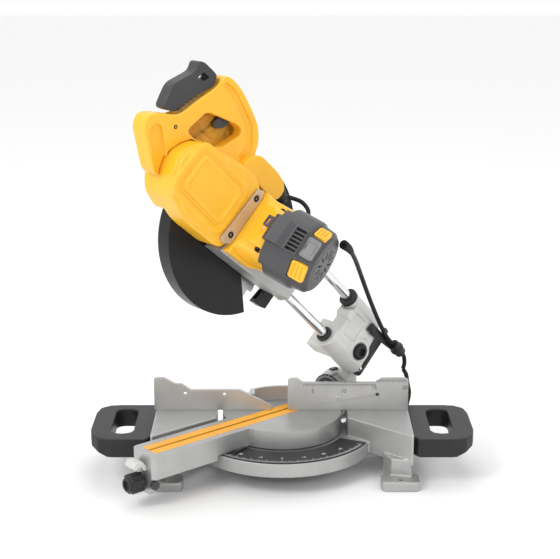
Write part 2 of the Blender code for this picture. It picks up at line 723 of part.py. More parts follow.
def cord_tube(name, route, spacing=20.0):
    curve = bpy.data.curves.new(name, 'CURVE')
    curve.dimensions = '3D'
    curve.bevel_depth = CORD_R * MM
    curve.bevel_resolution = 2
    curve.use_fill_caps = True
    points = smooth_route(route, spacing)
    spline = curve.splines.new('POLY')
    spline.points.add(len(points) - 1)
    for slot, point in zip(spline.points, points):
        slot.co = (*(point * MM), 1.0)
    body = bpy.data.objects.new(name, curve)
    bpy.context.scene.collection.objects.link(body)
    curve.materials.append(finish_material(name, "black"))
    return body


COIL = (168.0, 196.0)
COIL_OUTER = 44.0
COIL_INNER = 29.0
COIL_HEIGHT = 29.0
LEAD_ROUTE = [(163, -252, 62), (158, -236, 66), (146, -214, 70), (122, -176, 76), (96, -128, 78),
              (82, -78, 70), (72, -30, 61), (67, 14, 52), (66.5, 34, 49), (66.5, 51.6, 49)]
DROP_ROUTE = [(CLAMP_X, CLAMP_END + 0.4, CLAMP_Z), (66.5, 86, 49), (66, 97, 42), (65, 103, 33)]
CORD_LEAD = [head_point(*p) for p in LEAD_ROUTE]
CORD_DROP = [head_point(*p) for p in DROP_ROUTE]


def beyond(point, *steps):
    """Points at the given steps from a point."""
    return [tuple(a + b for a, b in zip(point, step)) for step in steps]


CORD_FALL = beyond(CORD_DROP[-1], (1, 0.8, -2.2), (6, 5, -12), (9, 9, -28))
SIDE_X = COIL[0] + COIL_OUTER + CORD_R + 0.5
CORD_FLOOR = beyond(CORD_FALL[-1], (0.1, 0.2, -0.9), (4, 8, -26)) + [
    (SIDE_X - 6, 122, 26), (SIDE_X, 146, 7), (SIDE_X, 170, CORD_R + 0.2), (SIDE_X, COIL[1], CORD_R + 0.2)]


def cords():
    cord_tube("cord_lead", CORD_LEAD)
    cord_tube("cord_drop", CORD_DROP)
    cord_tube("cord_fall", CORD_FALL)
    cord_tube("cord_floor", CORD_FLOOR)
    coil = ring(COIL_INNER, COIL_OUTER, 0.2, COIL_HEIGHT, (*COIL, 0), steps=40)
    place(coil, "cord_coil", "black")
    x, y = COIL[0] + 10, COIL[1] - COIL_OUTER - 16
    plug = turned([(0, 0), (11, 0), (14, 6), (14, 34), (8, 44), (0, 44)], steps=16)
    plug.data.transform(Matrix.Translation(Vector((x - 30, y, 14.4)) * MM) @ turn(90, 'Y'))
    place(plug, "cord_plug", "black")


# ---------------------------------------------------------------- assembly

def build():
    base_casting()
    mitre_scale()
    fence_casting()
    left_fence()
    side_handle(1)
    side_handle(-1)
    pivot_bolt()
    turntable()
    kerf_plate(1)
    kerf_plate(-1)
    lock_rod()
    mitre_knob()
    detent_lever()
    arm_end_cap()
    bevel_scale()
    bevel_pin()
    bevel_arm()
    bevel_pointer()
    bevel_lock_lever()
    transport_pin()
    carrier()
    pivot_shaft()
    pivot_cap()
    return_spring()
    rail_bush("lower_rail_bush", RAIL_Z[0])
    rail_bush("upper_rail_bush", RAIL_Z[1])
    rail_seal()
    rail_lock_knob()
    cord_clamp()
    rail("lower_rail", RAIL_Z[0])
    rail("upper_rail", RAIL_Z[1])
    rail_end_plate()
    gear_case()
    head_housing()
    side_panel()
    left = cut(handle_half(-5, 13 - GAP / 2), well(-20, 13.9))
    place(left, "handle_left", "yellow", "head")
    place(handle_half(13 + GAP / 2, 31), "handle_right", "yellow", "head")
    trigger()
    release_lever()
    motor_housing()
    motor_end_cap()
    stator()
    armature()
    drive_gear()
    arbor_shaft()
    blade()
    outer_flange()
    blade_bolt()
    upper_blade_guard()
    lower_blade_guard()
    dust_chute()
    cable_tube()
    cable_gland()
    spindle_lock()
    cords()


build()
bpy.context.view_layer.update()
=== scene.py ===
"""Looks of the sliding miter saw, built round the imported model.

Lengths are millimetres in four frames: WORLD stands on the bench, MITRE turns with the table, HEAD
tips with the saw head about the chop pivot, and MOTOR lies along the motor shaft.
"""
import math

import bmesh
import bpy
from mathutils import Matrix, Vector


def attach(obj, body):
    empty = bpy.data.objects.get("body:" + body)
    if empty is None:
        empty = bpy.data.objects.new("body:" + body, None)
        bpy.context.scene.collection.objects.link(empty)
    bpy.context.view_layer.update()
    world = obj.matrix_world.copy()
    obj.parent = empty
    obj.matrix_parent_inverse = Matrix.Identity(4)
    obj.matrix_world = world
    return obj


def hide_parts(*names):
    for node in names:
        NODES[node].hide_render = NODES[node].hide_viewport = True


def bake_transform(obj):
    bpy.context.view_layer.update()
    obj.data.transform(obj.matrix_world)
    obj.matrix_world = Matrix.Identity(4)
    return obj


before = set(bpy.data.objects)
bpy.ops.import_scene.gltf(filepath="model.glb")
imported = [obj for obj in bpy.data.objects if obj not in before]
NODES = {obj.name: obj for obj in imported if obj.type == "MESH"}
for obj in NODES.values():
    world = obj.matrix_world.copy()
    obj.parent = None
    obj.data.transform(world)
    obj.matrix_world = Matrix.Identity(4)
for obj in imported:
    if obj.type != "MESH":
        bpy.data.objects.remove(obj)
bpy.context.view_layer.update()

MM = 0.001
TABLE_Z = 86.0
ARBOR = (-311.0, 7.0)
WELL_R = 131.5
RAIL_X = 38.0
RAIL_Z = (-15.5, 58.0)
CORD_R = 3.6                    # the mains lead is 7.2 mm across


# ---------------------------------------------------------------- frames

def turn(degrees, axis):
    return Matrix.Rotation(math.radians(degrees), 4, axis)


WORLD = Matrix.Identity(4)
MITRE = turn(-50, 'Z')
HEAD = MITRE @ Matrix.Translation((0, 0.116, 0.177)) @ turn(-45, 'X')
MOTOR_START = Vector((50, -337, 17))
MOTOR_DIR = (Vector((160, -266, 16)) - MOTOR_START).normalized()
MOTOR_IN_HEAD = Matrix.Translation(MOTOR_START * MM) @ MOTOR_DIR.to_track_quat('Z', 'Y').to_matrix().to_4x4()
MOTOR = HEAD @ MOTOR_IN_HEAD


# ---------------------------------------------------------------- camera, floor and light

def stage():
    camera = bpy.data.objects.new("camera", bpy.data.cameras.new("camera"))
    bpy.context.scene.collection.objects.link(camera)
    camera.location = (-0.0034, -2.1015, 0.8904)
    camera.rotation_euler = (math.radians(74.5), 0, 0)
    camera.data.lens = 88
    camera.data.sensor_width = 36
    bpy.context.scene.camera = camera
    floor_mesh = bpy.data.meshes.new("floor")
    floor_mesh.from_pydata([(-9, -9, 0), (9, -9, 0), (9, 9, 0), (-9, 9, 0)], [], [(0, 1, 2, 3)])
    floor = bpy.data.objects.new("floor", floor_mesh)
    bpy.context.scene.collection.objects.link(floor)
    paint = bpy.data.materials.new("floor")
    paint.use_nodes = True
    shader = paint.node_tree.nodes["Principled BSDF"]
    shader.inputs["Base Color"].default_value = (0.93, 0.93, 0.93, 1)
    shader.inputs["Roughness"].default_value = 0.7
    shader.inputs["Specular IOR Level"].default_value = 0.2
    floor_mesh.materials.append(paint)
    world = bpy.data.worlds.new("world")
    world.use_nodes = True
    world.node_tree.nodes["Background"].inputs["Color"].default_value = (1, 1, 1, 1)
    world.node_tree.nodes["Background"].inputs["Strength"].default_value = 1.0
    bpy.context.scene.world = world
    bpy.context.scene.view_settings.view_transform = 'Standard'
    for name, place, aim, power, size in (
            ("key", (-1.5, -1.4, 2.2), (0, 0, 0.3), 22, 0.9),
            ("fill", (2.0, -1.6, 1.4), (0, 0, 0.3), 5, 1.6),
            ("top", (0.2, 0.6, 2.6), (0, 0, 0.2), 9, 1.8)):
        light = bpy.data.lights.new(name, 'AREA')
        light.energy = power
        light.size = size
        lamp = bpy.data.objects.new(name, light)
        bpy.context.scene.collection.objects.link(lamp)
        lamp.location = place
        lamp.rotation_euler = (Vector(aim) - Vector(place)).to_track_quat('-Z', 'Y').to_euler()


# ---------------------------------------------------------------- materials

def link(tree, source, output, target, socket):
    tree.links.new(source.outputs[output], target.inputs[socket])


def material(name, color, rough, metal=0.0, grain=1400, bump=0.15, blotch=25, vary=0.10, wear=0.0, brush=None,
             coat=0.0, shine=0.5):
    """Noise grain in the bump and roughness, slow colour variation, and paler or darker convex edges.

    brush stretches the grain: a triple of scales for straight brushing, or "rings" for turned faces.
    """
    paint = bpy.data.materials.new(name)
    paint.use_nodes = True
    tree = paint.node_tree
    shader = tree.nodes["Principled BSDF"]
    shader.inputs["Metallic"].default_value = metal
    shader.inputs["Coat Weight"].default_value = coat
    shader.inputs["Specular IOR Level"].default_value = shine
    where = tree.nodes.new("ShaderNodeTexCoord")
    fine = tree.nodes.new("ShaderNodeTexNoise")
    fine.inputs["Scale"].default_value = grain
    fine.inputs["Detail"].default_value = 4
    if brush == "rings":
        length = tree.nodes.new("ShaderNodeVectorMath")
        length.operation = 'LENGTH'
        flat = tree.nodes.new("ShaderNodeMapping")
        flat.inputs["Scale"].default_value = (1, 1, 0)
        link(tree, where, "Object", flat, "Vector")
        link(tree, flat, "Vector", length, 0)
        link(tree, length, "Value", fine, "Vector")
    elif brush:
        stretch = tree.nodes.new("ShaderNodeMapping")
        stretch.inputs["Scale"].default_value = brush[0]
        stretch.inputs["Rotation"].default_value = (0, 0, math.radians(brush[1]))
        link(tree, where, "Object", stretch, "Vector")
        link(tree, stretch, "Vector", fine, "Vector")
    else:
        link(tree, where, "Object", fine, "Vector")
    slow = tree.nodes.new("ShaderNodeTexNoise")
    slow.inputs["Scale"].default_value = blotch
    slow.inputs["Detail"].default_value = 3
    link(tree, where, "Object", slow, "Vector")
    tint = tree.nodes.new("ShaderNodeValToRGB")
    tint.color_ramp.elements[0].position = 0.3
    tint.color_ramp.elements[1].position = 0.7
    tint.color_ramp.elements[0].color = (*(c * (1 - vary) for c in color), 1)
    tint.color_ramp.elements[1].color = (*(min(1, c * (1 + vary)) for c in color), 1)
    link(tree, slow, "Fac", tint, "Fac")
    last = tint
    if wear:
        edge = tree.nodes.new("ShaderNodeNewGeometry")
        ramp = tree.nodes.new("ShaderNodeMapRange")
        ramp.inputs["From Min"].default_value = 0.51
        ramp.inputs["From Max"].default_value = 0.62
        ramp.inputs["To Max"].default_value = abs(wear)
        mix = tree.nodes.new("ShaderNodeMixRGB")
        mix.inputs["Color2"].default_value = (0.9, 0.9, 0.88, 1) if wear > 0 else (0.02, 0.02, 0.02, 1)
        link(tree, edge, "Pointiness", ramp, "Value")
        link(tree, ramp, "Result", mix, "Fac")
        link(tree, tint, "Color", mix, "Color1")
        last = mix
    link(tree, last, "Color", shader, "Base Color")
    gloss = tree.nodes.new("ShaderNodeMapRange")
    gloss.inputs["To Min"].default_value = max(0.03, rough - 0.07)
    gloss.inputs["To Max"].default_value = rough + 0.07
    link(tree, fine, "Fac", gloss, "Value")
    link(tree, gloss, "Result", shader, "Roughness")
    relief = tree.nodes.new("ShaderNodeBump")
    relief.inputs["Strength"].default_value = bump
    relief.inputs["Distance"].default_value = 0.0002
    link(tree, fine, "Fac", relief, "Height")
    link(tree, relief, "Normal", shader, "Normal")
    return paint


YELLOW = material("yellow_moulding", (0.92, 0.49, 0.022), 0.34, grain=2200, bump=0.10, vary=0.04, wear=0.10)
BLACK = material("black_moulding", (0.017, 0.017, 0.019), 0.42, grain=1800, bump=0.35, vary=0.12, wear=0.04,
                 shine=0.35)
GREY = material("grey_moulding", (0.036, 0.036, 0.040), 0.40, grain=1800, bump=0.30, vary=0.10, wear=0.05)
CAP_GREY = material("cap_moulding", (0.060, 0.060, 0.065), 0.38, grain=2000, bump=0.25, vary=0.08, wear=0.06)
BADGE = material("badge_plate", (0.22, 0.22, 0.225), 0.35, metal=0.6, grain=900, bump=0.2,
                 brush=((1, 1, 12), 0))
CASTING = material("cast_aluminium", (0.44, 0.44, 0.435), 0.42, metal=0.6, grain=900, bump=0.45, vary=0.06,
                   wear=0.25)
CARRIER = material("painted_casting", (0.62, 0.62, 0.60), 0.42, metal=0.25, grain=900, bump=0.35, vary=0.05,
                   wear=0.15)
TABLE = material("turned_table", (0.47, 0.47, 0.465), 0.36, metal=0.75, grain=1600, bump=0.30, vary=0.05,
                 brush="rings")
FENCE = material("ground_fence", (0.43, 0.425, 0.41), 0.38, metal=0.7, grain=700, bump=0.30, vary=0.08,
                 brush=((1, 10, 14), 0), wear=0.2)
STEEL = material("bright_steel", (0.60, 0.60, 0.60), 0.28, metal=1.0, grain=900, bump=0.12, vary=0.05)
BLADE = material("blade_steel", (0.50, 0.50, 0.51), 0.30, metal=1.0, grain=1400, bump=0.2, vary=0.06)
GUARD = material("guard_plastic", (0.007, 0.007, 0.008), 0.30, grain=1200, bump=0.10, vary=0.1, shine=0.3)
CHROME = material("chrome", (0.86, 0.86, 0.87), 0.08, metal=1.0, grain=300, bump=0.03, vary=0.02)
TAN = material("plated_strip", (0.58, 0.47, 0.36), 0.42, metal=0.6, grain=1200, bump=0.35, vary=0.06)
COPPER = material("copper_winding", (0.62, 0.28, 0.12), 0.4, metal=0.9, grain=500, bump=0.6,
                  brush=((1, 1, 8), 0))
BRONZE = material("sintered_bronze", (0.50, 0.34, 0.16), 0.45, metal=0.9, grain=1800, bump=0.3)
RUBBER = material("cord_rubber", (0.010, 0.010, 0.011), 0.52, shine=0.3, grain=2600, bump=0.35, vary=0.15)
SCALE = material("scale_print", (0.016, 0.016, 0.018), 0.38, grain=1500, bump=0.12)
WHITE = material("white_print", (0.82, 0.82, 0.80), 0.5, grain=2500, bump=0.05, vary=0.03)
INK = material("black_print", (0.05, 0.05, 0.05), 0.5, grain=2500, bump=0.05)
KERF = material("kerf_plastic", (0.90, 0.40, 0.02), 0.40, grain=1500, bump=0.2, vary=0.07,
                brush=((1, 6, 1), 50))
DARK_METAL = material("blackened_steel", (0.03, 0.03, 0.032), 0.34, metal=0.8, grain=1500, bump=0.2)


# ---------------------------------------------------------------- shapes

def mesh_object(name, points, faces):
    mesh = bpy.data.meshes.new(name)
    mesh.from_pydata([tuple(c * MM for c in p) for p in points], [], faces)
    mesh.update()
    body = bpy.data.objects.new(name, mesh)
    bpy.context.scene.collection.objects.link(body)
    return body


def signed_area(outline):
    pairs = zip(outline, outline[1:] + outline[:1])
    return 0.5 * sum(a[0] * b[1] - b[0] * a[1] for a, b in pairs)


def prism(outline, low, high, axis='Z'):
    """Extrude a closed outline along an axis: X takes (y, z) points, Y (x, z) and Z (x, y)."""
    outline = list(outline)
    forward = signed_area(outline) > 0
    if axis == 'Y':
        forward = not forward
    if not forward:
        outline.reverse()
    place = {'X': lambda a, b, h: (h, a, b), 'Y': lambda a, b, h: (a, h, b),
             'Z': lambda a, b, h: (a, b, h)}[axis]
    count = len(outline)
    points = [place(a, b, h) for h in (low, high) for a, b in outline]
    faces = [list(range(count))[::-1], [count + i for i in range(count)]]
    for i in range(count):
        j = (i + 1) % count
        faces.append([i, j, count + j, count + i])
    return mesh_object("tool", points, faces)


def box(x, y, z):
    return prism([(x[0], y[0]), (x[1], y[0]), (x[1], y[1]), (x[0], y[1])], z[0], z[1])


def arc(centre, radius, start, end, steps):
    turns = [math.radians(start + (end - start) * i / steps) for i in range(steps + 1)]
    return [(centre[0] + radius * math.cos(t), centre[1] + radius * math.sin(t)) for t in turns]


def rounded(x, y, radius, steps=5):
    corners = ((x[1], y[1], 0), (x[0], y[1], 90), (x[0], y[0], 180), (x[1], y[0], 270))
    outline = []
    for cx, cy, start in corners:
        centre = (cx - math.copysign(radius, cx - sum(x) / 2), cy - math.copysign(radius, cy - sum(y) / 2))
        outline += arc(centre, radius, start, start + 90, steps)
    return outline


def offset(outline, amount):
    if signed_area(outline) < 0:
        outline = outline[::-1]
    moved = []
    for i, here in enumerate(outline):
        before, after = Vector(outline[i - 1]), Vector(outline[(i + 1) % len(outline)])
        here = Vector(here)
        a, b = (here - before).normalized(), (after - here).normalized()
        n_a, n_b = Vector((a.y, -a.x)), Vector((b.y, -b.x))
        mitre = (n_a + n_b) / max(0.4, 1 + n_a.dot(n_b))
        moved.append(tuple(here + mitre * amount))
    return moved


def fillet(outline, radius, steps=5):
    """Round an outline's corners by a radius, or by less where its edges are short."""
    eased = []
    for i, here in enumerate(outline):
        here, before, after = Vector(here), Vector(outline[i - 1]), Vector(outline[(i + 1) % len(outline)])
        reach = min(radius, 0.48 * (before - here).length, 0.48 * (after - here).length)
        a = here + (before - here).normalized() * reach
        b = here + (after - here).normalized() * reach
        for k in range(steps + 1):
            t = k / steps
            eased.append(tuple(a * (1 - t) ** 2 + here * 2 * t * (1 - t) + b * t * t))
    return eased


def turned(profile, centre=(0, 0, 0), axis='Z', steps=48):
    """Closed (radius, height) profile turned about an axis through the centre."""
    if signed_area(profile) < 0:
        profile = profile[::-1]
    place = {'X': lambda r, t, h: (h, r * math.cos(t), r * math.sin(t)),
             'Y': lambda r, t, h: (r * math.sin(t), h, r * math.cos(t)),
             'Z': lambda r, t, h: (r * math.cos(t), r * math.sin(t), h)}[axis]
    points, rings = [], []
    for radius, height in profile:
        if radius < 1e-6:
            rings.append([len(points)])
            points.append(place(0, 0, height))
            continue
        rings.append(list(range(len(points), len(points) + steps)))
        points += [place(radius, 2 * math.pi * i / steps, height) for i in range(steps)]
    faces = []
    for low, high in zip(rings, rings[1:] + rings[:1]):
        for i in range(steps):
            j = (i + 1) % steps
            if len(low) > 1 and len(high) > 1:
                faces.append([low[i], low[j], high[j], high[i]])
            elif len(high) > 1:
                faces.append([low[0], high[j], high[i]])
            elif len(low) > 1:
                faces.append([low[i], low[j], high[0]])
    points = [tuple(p + c for p, c in zip(point, centre)) for point in points]
    return mesh_object("tool", points, faces)


def rod(radius, low, high, centre=(0, 0, 0), axis='Z', steps=24):
    return turned([(0, low), (radius, low), (radius, high), (0, high)], centre, axis, steps)


def ring(inner, outer, low, high, centre=(0, 0, 0), axis='Z', steps=40):
    return turned([(inner, low), (outer, low), (outer, high), (inner, high)], centre, axis, steps)


def moved(body, matrix):
    body.data.transform(matrix)
    return body


def settle(target):
    """Replace an object's mesh by what its modifiers make of it."""
    graph = bpy.context.evaluated_depsgraph_get()
    graph.update()
    result = bpy.data.meshes.new_from_object(target.evaluated_get(graph))
    target.modifiers.clear()
    target.data = result
    return target


def combine(target, operation, tools):
    for tool in tools:
        step = target.modifiers.new(operation, 'BOOLEAN')
        step.operation = operation
        step.solver = 'EXACT'
        step.object = tool
        settle(target)
        bpy.data.objects.remove(tool, do_unlink=True)
    return target


def join(target, *tools):
    return combine(target, 'UNION', tools)


def cut(target, *tools):
    return combine(target, 'DIFFERENCE', tools)


def gather(*bodies):
    """One object holding several separate shells."""
    whole = bmesh.new()
    for body in bodies:
        whole.from_mesh(body.data)
        bpy.data.objects.remove(body, do_unlink=True)
    mesh = bpy.data.meshes.new("gathered")
    whole.to_mesh(mesh)
    whole.free()
    made = bpy.data.objects.new("gathered", mesh)
    bpy.context.scene.collection.objects.link(made)
    return made


def moulded(body, voxel=1.2, passes=6):
    """Round every edge the way a mould or a sand casting does."""
    skin = body.modifiers.new("skin", 'REMESH')
    skin.mode = 'VOXEL'
    skin.voxel_size = voxel * MM
    ease = body.modifiers.new("ease", 'SMOOTH')
    ease.factor = 0.5
    ease.iterations = passes
    return settle(body)


def bevelled(body, width, segments=2):
    edge = body.modifiers.new("edge", 'BEVEL')
    edge.width = width * MM
    edge.segments = segments
    edge.limit_method = 'ANGLE'
    edge.angle_limit = math.radians(35)
    return settle(body)


def piece(body, name, paint, rides, matrix=WORLD, stands_for=()):
    """Put a finished shape in the world, name it, paint it and hang it on its body."""
    body.name = name
    body.data.name = name
    body.data.transform(matrix)
    body.data.materials.clear()
    body.data.materials.append(paint)
    body.data.shade_smooth()
    body.data.set_sharp_from_angle(angle=math.radians(40))
    if rides:
        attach(body, rides)
    if stands_for:
        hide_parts(*stands_for)
    return body


def dress(name, paint, width=0.6, voxel=0.0, passes=4):
    """Keep a CAD node, paint it and soften its edges: bevelled where machined, eased where cast."""
    node = NODES[name]
    node.data.materials.clear()
    node.data.materials.append(paint)
    if voxel:
        skin = node.modifiers.new("skin", 'REMESH')
        skin.mode = 'VOXEL'
        skin.voxel_size = voxel * MM
        skin.use_smooth_shade = True
        ease = node.modifiers.new("ease", 'SMOOTH')
        ease.factor = 0.5
        ease.iterations = passes
        return
    plain = node.modifiers.new("plain", 'DECIMATE')
    plain.decimate_type = 'DISSOLVE'
    plain.angle_limit = math.radians(1.0)
    if width:
        edge = node.modifiers.new("edge", 'BEVEL')
        edge.width = width * MM
        edge.segments = 2
        edge.limit_method = 'ANGLE'
        edge.angle_limit = math.radians(35)


# ---------------------------------------------------------------- cords

def smooth_route(route, spacing):
    """Points at an even spacing on the Catmull-Rom curve through a route."""
    points = [Vector(p) for p in route]
    points = [2 * points[0] - points[1]] + points + [2 * points[-1] - points[-2]]
    fine = []
    for a, b, c, d in zip(points, points[1:], points[2:], points[3:]):
        for i in range(12):
            t = i / 12
            fine.append(0.5 * (2 * b + (c - a) * t + (2 * a - 5 * b + 4 * c - d) * t ** 2
                               + (3 * b - a - 3 * c + d) * t ** 3))
    fine.append(points[-2])
    total = sum((b - a).length for a, b in zip(fine, fine[1:]))
    count = max(2, round(total / spacing))
    evenly, walked, target = [fine[0]], 0.0, total / count
    for a, b in zip(fine, fine[1:]):
        step = (b - a).length
        while walked + step >= target and len(evenly) < count:
            evenly.append(a.lerp(b, (target - walked) / step))
            target += total / count
        walked += step
    return evenly + [fine[-1]]


def tube(path, radii, sides=16):
    """Closed tube along a path of millimetre points; radii is one radius or one for each point."""
    path = [Vector(p) for p in path]
    radii = [radii] * len(path) if isinstance(radii, (int, float)) else list(radii)
    ahead = [(b - a).normalized() for a, b in zip(path, path[1:])]
    tangents = [ahead[0]] + [(a + b).normalized() for a, b in zip(ahead, ahead[1:])] + [ahead[-1]]
    side = tangents[0].orthogonal().normalized()
    points, faces = [], []
    for centre, along, radius in zip(path, tangents, radii):
        side = (side - along * side.dot(along)).normalized()
        up = along.cross(side)
        for i in range(sides):
            t = 2 * math.pi * i / sides
            points.append(centre + (side * math.cos(t) + up * math.sin(t)) * radius)
    for k in range(len(path) - 1):
        for i in range(sides):
            j = (i + 1) % sides
            faces.append([k * sides + i, k * sides + j, (k + 1) * sides + j, (k + 1) * sides + i])
    faces.append(list(range(sides))[::-1])
    faces.append([(len(path) - 1) * sides + i for i in range(sides)])
    return mesh_object("tube", points, faces)


def head_point(x, y, z):
    return tuple(c / MM for c in (HEAD @ (Vector((x, y, z)) * MM)))


def beyond(point, *steps):
    return [tuple(a + b for a, b in zip(point, step)) for step in steps]


COIL = (168.0, 196.0)
COIL_OUTER = 44.0
SIDE_X = COIL[0] + COIL_OUTER + CORD_R + 0.5
FLOOR_Z = CORD_R + 0.2
LEAD_ROUTE = [(163, -252, 62), (158, -236, 66), (146, -214, 70), (122, -176, 76), (96, -128, 78),
              (82, -78, 70), (72, -30, 61), (67, 14, 52), (66.5, 34, 49), (66.5, 51.6, 49)]
DROP_ROUTE = [(66.5, 74.4, 49), (66.5, 86, 49), (66, 97, 42), (65, 103, 33)]
CORD_LEAD = [head_point(*p) for p in LEAD_ROUTE]
CORD_DROP = [head_point(*p) for p in DROP_ROUTE]
CORD_FALL = beyond(CORD_DROP[-1], (1, 0.8, -2.2), (6, 5, -12), (9, 9, -28))
CORD_FLOOR = beyond(CORD_FALL[-1], (0.1, 0.2, -0.9), (4, 8, -26)) + [
    (SIDE_X - 6, 122, 26), (SIDE_X, 146, 7), (SIDE_X, 170, FLOOR_Z), (SIDE_X, COIL[1], FLOOR_Z)]
PLUG_Y = 136.0
PLUG_Z = 14.4
TURN_RADII = (COIL_OUTER - CORD_R, COIL_OUTER - 3.05 * CORD_R)
LAYERS = 4
LAYER_STEP = 7.35


def coil_route():
    """Turns side by side in two columns, four layers high, each change made over a sixth of a turn."""
    outer, inner = TURN_RADII
    keys = [(0, SIDE_X - COIL[0], FLOOR_Z), (130, outer, FLOOR_Z)]
    angle = 310
    for layer in range(LAYERS):
        z = FLOOR_Z + layer * LAYER_STEP
        first, last = (outer, inner) if layer % 2 == 0 else (inner, outer)
        keys += [(angle, first, z), (angle + 50, last, z), (angle + 310, last, z)]
        angle += 360
        if layer < LAYERS - 1:
            keys.append((angle, last, z + LAYER_STEP))
            angle += 260
    end = keys[-1][0] - 260
    keys = [k for k in keys if k[0] <= end] + [(end + 105, keys[-1][1], keys[-1][2])]
    points, degrees = [], 12.0
    for (a0, r0, z0), (a1, r1, z1) in zip(keys, keys[1:]):
        count = max(1, round((a1 - a0) / degrees))
        for i in range(count):
            t = i / count
            ease = t * t * (3 - 2 * t)
            angle, radius = math.radians(a0 + (a1 - a0) * t), r0 + (r1 - r0) * ease
            points.append((COIL[0] + radius * math.cos(angle), COIL[1] + radius * math.sin(angle),
                           z0 + (z1 - z0) * ease))
    return points, keys[-1][0]


def cord_stretch(name, path, nodes, bodies):
    """A round length of cord that rides on one body, or is baked in place in the world when it runs between
    two.
    """
    body = tube(path, CORD_R)
    body = piece(body, name, RUBBER, None if len(bodies) > 1 else bodies[0], stands_for=nodes)
    if len(bodies) > 1:
        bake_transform(body)
    return body


def cords():
    lead = smooth_route(CORD_LEAD, 8)
    sleeve_path = lead[:6]
    radii = [7.2, 6.9, 6.3, 5.6, 5.0, 4.4]
    grooved = []
    for i, (a, b) in enumerate(zip(sleeve_path, sleeve_path[1:])):
        for k in range(4):
            t = k / 4
            radius = radii[i] + (radii[i + 1] - radii[i]) * t - (0.7 if k % 2 and i < 4 else 0)
            grooved.append((a.lerp(b, t), radius))
    grooved.append((sleeve_path[-1], radii[-1]))
    sleeve = tube([p for p, r in grooved], [r for p, r in grooved], 24)
    sleeve = piece(sleeve, "lead_strain_relief", RUBBER, "saw_head")
    lead_cord = cord_stretch("lead_cord", lead, ["cord_lead"], ["saw_head", "rail_carrier"])
    drop = smooth_route(CORD_DROP, 4)
    drop_cord = cord_stretch("drop_cord", drop, ["cord_drop"], ["rail_carrier", "bevel_frame"])
    fall = smooth_route(CORD_FALL, 4)
    fall_cord = cord_stretch("fall_cord", fall, ["cord_fall"], ["bevel_frame", "table"])
    floor = smooth_route(CORD_FLOOR, 6)
    floor_cord = cord_stretch("floor_cord", floor, ["cord_floor"], ["table", "base"])
    plug = moulded(gather(
        turned([(0, 0), (12.5, 0), (14, 5), (14, 15), (12.2, 19), (14, 24), (14, 32), (9, 41), (0, 42)]),
        rod(2.2, -5, 10, (5.5, 0, 0)), rod(2.2, -5, 10, (-5.5, 0, 0))), 0.8, 3)
    plug.data.transform(Matrix.Translation(Vector((150 + 42, PLUG_Y, PLUG_Z)) * MM) @ turn(-90, 'Y'))
    plug = piece(plug, "mains_plug", BLACK, "base", stands_for=["cord_plug"])
    turns, last_angle = coil_route()
    top = turns[-1]
    tail = [top, (122.6, 186, 24), (118.6, 168, 21.5), (120.4, 154, 19), (126.8, 143.8, 17),
            (136.8, 137.9, 15.3), (149.6, PLUG_Y, PLUG_Z)]
    tail = smooth_route(tail, 6)
    coil_path = [Vector(p) for p in turns[:-1]] + tail
    outer, inner = TURN_RADII
    band = [(inner - 4.6, 0.3), (outer + 4.4, 0.3), (outer + 4.4, 30.2), (inner - 4.6, 30.2)]
    hole = offset(band, -1.2)
    tie = cut(prism(band, -5, 5, 'Y'), prism(hole, -9, 9, 'Y'))
    tie = moulded(tie, 0.5, 2)
    tie.data.transform(Matrix.Translation(Vector((COIL[0], COIL[1], 0)) * MM) @ turn(75, 'Z'))
    tie = piece(tie, "cord_tie", BLACK, "base")
    coiled = cord_stretch("coiled_cord", coil_path, ["cord_coil"], ["base"])


# ---------------------------------------------------------------- saw head

HOUSING = [(-490, -31), (-477, -42), (-429, -54), (-394, -50), (-351, -46), (-351, 66), (-388, 76),
           (-452, 61), (-490, 49), (-502, 32), (-510, 11), (-500, -16)]
NOSE = [(-490, -31), (-477, -42), (-440, -51), (-440, 63), (-452, 61), (-490, 49), (-502, 32), (-510, 11),
        (-500, -16)]
HANDLE = [(-505, -31), (-567, 9), (-573, 26), (-564, 38), (-552, 46), (-531, 60), (-516, 109), (-506, 134),
          (-507, 156), (-490, 161), (-468, 160), (-436, 152), (-408, 142), (-391, 127), (-381, 108),
          (-382, 77), (-480, 40), (-470, 0)]
HANDLE_SEAM_X = 13.0
SEAM_GAP = 0.36
GRIP_HOLE = [(-505, 53), (-496, 96), (-470, 106), (-440, 117), (-430, 118), (-424, 110), (-440, 72),
             (-488, 52)]
TRIGGER = [(-470, 93), (-462, 91), (-450, 100), (-446, 114), (-452, 129), (-463, 126), (-468, 108)]
LEVER = [(-556, 51), (-566, 88), (-548, 127), (-554, 141), (-545, 147), (-515, 149), (-509.5, 140),
         (-508, 131), (-519, 110), (-534, 62)]
ARCH_CHANNEL = [(-500, 149), (-478, 152), (-417, 136), (-391, 109), (-392, 84), (-403, 84), (-406, 105),
                (-426, 126), (-474, 141), (-498, 141)]
COLUMN_CHANNEL = [(-557, 13), (-555, 26), (-545, 31), (-494, -8), (-494, -24), (-507, -26)]


def well(low, high):
    return rod(WELL_R, low, high, (0, *ARBOR), 'X', 72)


